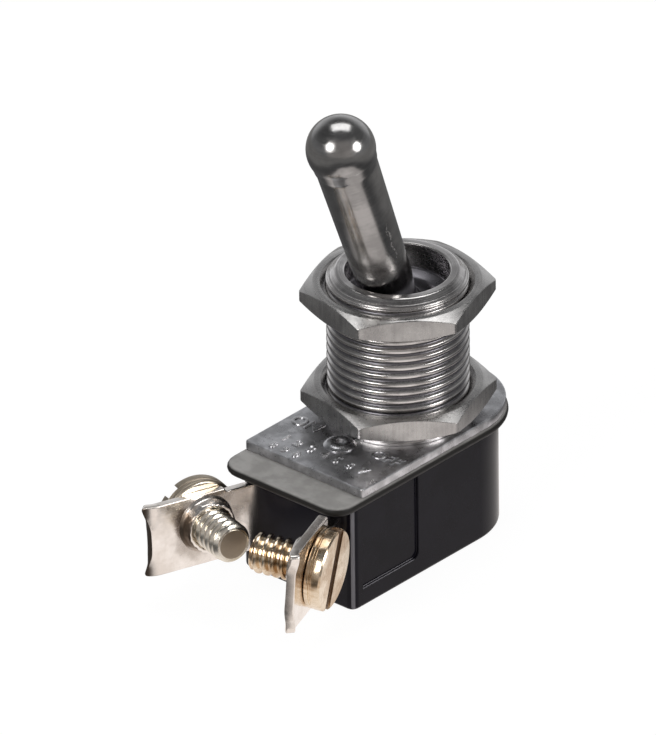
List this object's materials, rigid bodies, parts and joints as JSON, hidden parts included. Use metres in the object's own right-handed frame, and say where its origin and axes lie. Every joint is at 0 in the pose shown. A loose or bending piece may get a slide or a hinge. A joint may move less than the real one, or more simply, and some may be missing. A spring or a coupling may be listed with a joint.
{
  "type": "panel toggle switch",
  "caption": "Small panel toggle switch: a bat lever in a threaded bushing with two hexagon nuts, on a moulded body with two splayed screw terminals.",
  "frame": {"origin": "on the bushing axis, in the upper face of the lower nut, where a panel seats", "axes": "+Z out along the bushing towards the lever, -Y towards the screw terminals, +X completes a right-handed frame"},
  "size_m": [0.0177, 0.0332, 0.042],
  "materials": {
    "black_phenolic": "glossy moulded phenolic",
    "grey_fibre": "matte pressed fibre",
    "dark_steel": "dark satin plated steel",
    "black_nickel": "polished dark nickel",
    "nut_steel": "turned and plated steel",
    "bare_steel": "plain drawn steel",
    "brass": "turned brass",
    "bronze": "stamped spring bronze",
    "silver": "silver contact alloy",
    "nickel": "stamped, bright nickel plate"
  },
  "bodies": {
    "case": {"housing": "black_phenolic", "insulator_plate": "grey_fibre", "frame_plate": "dark_steel", "rivet_front": "dark_steel", "rivet_rear": "dark_steel", "bushing": "black_nickel", "cradle": "brass", "fixed_contact": "silver", "terminal_left": "nickel", "terminal_right": "nickel"},
    "lever": {"lever": "black_nickel", "lever_spring": "bare_steel", "pivot_pin": "bare_steel"},
    "plunger": {"plunger": "brass"},
    "rocker": {"rocker": "bronze", "moving_contact": "silver"},
    "nut_lower": {"nut_lower": "nut_steel"},
    "nut_upper": {"nut_upper": "nut_steel"},
    "screw_left": {"screw_left": "brass"},
    "screw_right": {"screw_right": "brass"}
  },
  "joints": [
    {"name": "lever_tilt", "type": "hinge", "parent": "case", "child": "lever", "pos_m": [0, 0, 0.0059], "axis": [-1, 0, 0], "range_deg": [0, 40]},
    {"name": "rocker_tilt", "type": "hinge", "parent": "case", "child": "rocker", "pos_m": [0, 0, -0.0096], "axis": [1, 0, 0], "range_deg": [0, 14]},
    {"name": "plunger_slide", "type": "slide", "parent": "lever", "child": "plunger", "axis": [0, -0.342, 0.9397], "range_m": [0, 0.0006], "deforming": ["lever_spring"]},
    {"name": "nut_upper_travel", "type": "slide", "parent": "case", "child": "nut_upper", "axis": [0, 0, 1], "range_m": [-0.004, 0.001]},
    {"name": "nut_lower_travel", "type": "slide", "parent": "case", "child": "nut_lower", "axis": [0, 0, 1], "range_m": [-0.0006, 0.0033]},
    {"name": "screw_left_travel", "type": "slide", "parent": "case", "child": "screw_left", "axis": [-0.9374, 0.3412, -0.0698], "range_m": [0, 0.004]},
    {"name": "screw_right_travel", "type": "slide", "parent": "case", "child": "screw_right", "axis": [0.9374, 0.3412, -0.0698], "range_m": [0, 0.004]}
  ],
  "couplings": [
    {"joint": "rocker_tilt", "follows": "lever_tilt", "ratio": 0.35}
  ]
}
